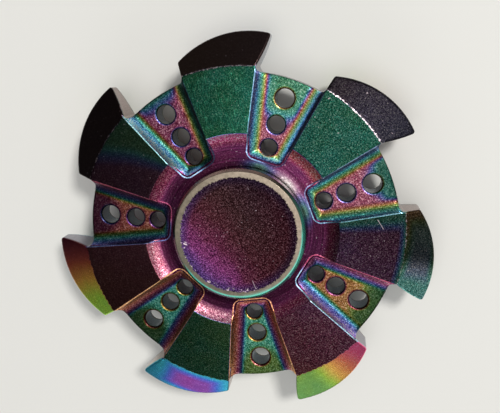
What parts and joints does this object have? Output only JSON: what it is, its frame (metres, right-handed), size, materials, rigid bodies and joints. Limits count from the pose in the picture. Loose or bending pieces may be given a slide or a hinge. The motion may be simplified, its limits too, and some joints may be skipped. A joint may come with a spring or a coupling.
{
  "type": "fidget spinner",
  "caption": "Metal fidget spinner: saw-blade body with drilled finger pockets turns on a ball bearing between two round finger caps.",
  "frame": {"origin": "on the spin axis, at the mid-plane of the body, which is the object's centroid", "axes": "+Z is the spin axis and points out of the top cap; +Y runs out through the middle of the first finger pocket; +X completes the right-handed frame"},
  "size_m": [0.0569, 0.0573, 0.0124],
  "materials": {
    "body_coating": "polished cast zinc alloy with an iridescent coating, orange-peel and brushed in places, worn bright along the ridges",
    "cap_coating": "fine blasted dished face with the same coating, bare worn metal on the flat rim",
    "bearing_steel": "ground and polished steel",
    "ball_steel": "mirror-polished steel",
    "cage_steel": "pressed stainless steel, satin",
    "shield_steel": "thin rolled steel, satin",
    "clip_steel": "spring steel, satin",
    "screw_steel": "black-oxide steel"
  },
  "bodies": {
    "hub": {"top_cap": "cap_coating", "bottom_cap": "cap_coating", "cap_screw": "screw_steel", "bearing_inner_ring": "bearing_steel"},
    "rotor": {"spinner_body": "body_coating", "bearing_outer_ring": "bearing_steel", "bearing_shield_top": "shield_steel", "bearing_shield_bottom": "shield_steel", "shield_clip_top": "clip_steel", "shield_clip_bottom": "clip_steel"},
    "cage": {"ball_cage": "cage_steel"},
    "roller_01": {"ball_01": "ball_steel"},
    "roller_02": {"ball_02": "ball_steel"},
    "roller_03": {"ball_03": "ball_steel"},
    "roller_04": {"ball_04": "ball_steel"},
    "roller_05": {"ball_05": "ball_steel"},
    "roller_06": {"ball_06": "ball_steel"},
    "roller_07": {"ball_07": "ball_steel"},
    "roller_08": {"ball_08": "ball_steel"},
    "roller_09": {"ball_09": "ball_steel"},
    "roller_10": {"ball_10": "ball_steel"}
  },
  "joints": [
    {"name": "body_spin", "type": "hinge", "parent": "hub", "child": "rotor", "pos_m": [0, 0, 0], "axis": [0, 0, 1], "continuous": true},
    {"name": "cage_orbit", "type": "hinge", "parent": "hub", "child": "cage", "pos_m": [0, 0, 0], "axis": [0, 0, 1], "continuous": true},
    {"name": "ball_01_roll", "type": "hinge", "parent": "cage", "child": "roller_01", "pos_m": [0.00476, 0, 0], "axis": [0, 0, 1], "continuous": true},
    {"name": "ball_02_roll", "type": "hinge", "parent": "cage", "child": "roller_02", "pos_m": [0.00385, 0.0028, 0], "axis": [0, 0, 1], "continuous": true},
    {"name": "ball_03_roll", "type": "hinge", "parent": "cage", "child": "roller_03", "pos_m": [0.00147, 0.00453, 0], "axis": [0, 0, 1], "continuous": true},
    {"name": "ball_04_roll", "type": "hinge", "parent": "cage", "child": "roller_04", "pos_m": [-0.00147, 0.00453, 0], "axis": [0, 0, 1], "continuous": true},
    {"name": "ball_05_roll", "type": "hinge", "parent": "cage", "child": "roller_05", "pos_m": [-0.00385, 0.0028, 0], "axis": [0, 0, 1], "continuous": true},
    {"name": "ball_06_roll", "type": "hinge", "parent": "cage", "child": "roller_06", "pos_m": [-0.00476, 0, 0], "axis": [0, 0, 1], "continuous": true},
    {"name": "ball_07_roll", "type": "hinge", "parent": "cage", "child": "roller_07", "pos_m": [-0.00385, -0.0028, 0], "axis": [0, 0, 1], "continuous": true},
    {"name": "ball_08_roll", "type": "hinge", "parent": "cage", "child": "roller_08", "pos_m": [-0.00147, -0.00453, 0], "axis": [0, 0, 1], "continuous": true},
    {"name": "ball_09_roll", "type": "hinge", "parent": "cage", "child": "roller_09", "pos_m": [0.00147, -0.00453, 0], "axis": [0, 0, 1], "continuous": true},
    {"name": "ball_10_roll", "type": "hinge", "parent": "cage", "child": "roller_10", "pos_m": [0.00385, -0.0028, 0], "axis": [0, 0, 1], "continuous": true}
  ],
  "couplings": [
    {"joint": "cage_orbit", "follows": "body_spin", "ratio": 0.58333},
    {"joint": "ball_01_roll", "follows": "body_spin", "ratio": 2.9167},
    {"joint": "ball_02_roll", "follows": "body_spin", "ratio": 2.9167},
    {"joint": "ball_03_roll", "follows": "body_spin", "ratio": 2.9167},
    {"joint": "ball_04_roll", "follows": "body_spin", "ratio": 2.9167},
    {"joint": "ball_05_roll", "follows": "body_spin", "ratio": 2.9167},
    {"joint": "ball_06_roll", "follows": "body_spin", "ratio": 2.9167},
    {"joint": "ball_07_roll", "follows": "body_spin", "ratio": 2.9167},
    {"joint": "ball_08_roll", "follows": "body_spin", "ratio": 2.9167},
    {"joint": "ball_09_roll", "follows": "body_spin", "ratio": 2.9167},
    {"joint": "ball_10_roll", "follows": "body_spin", "ratio": 2.9167}
  ]
}
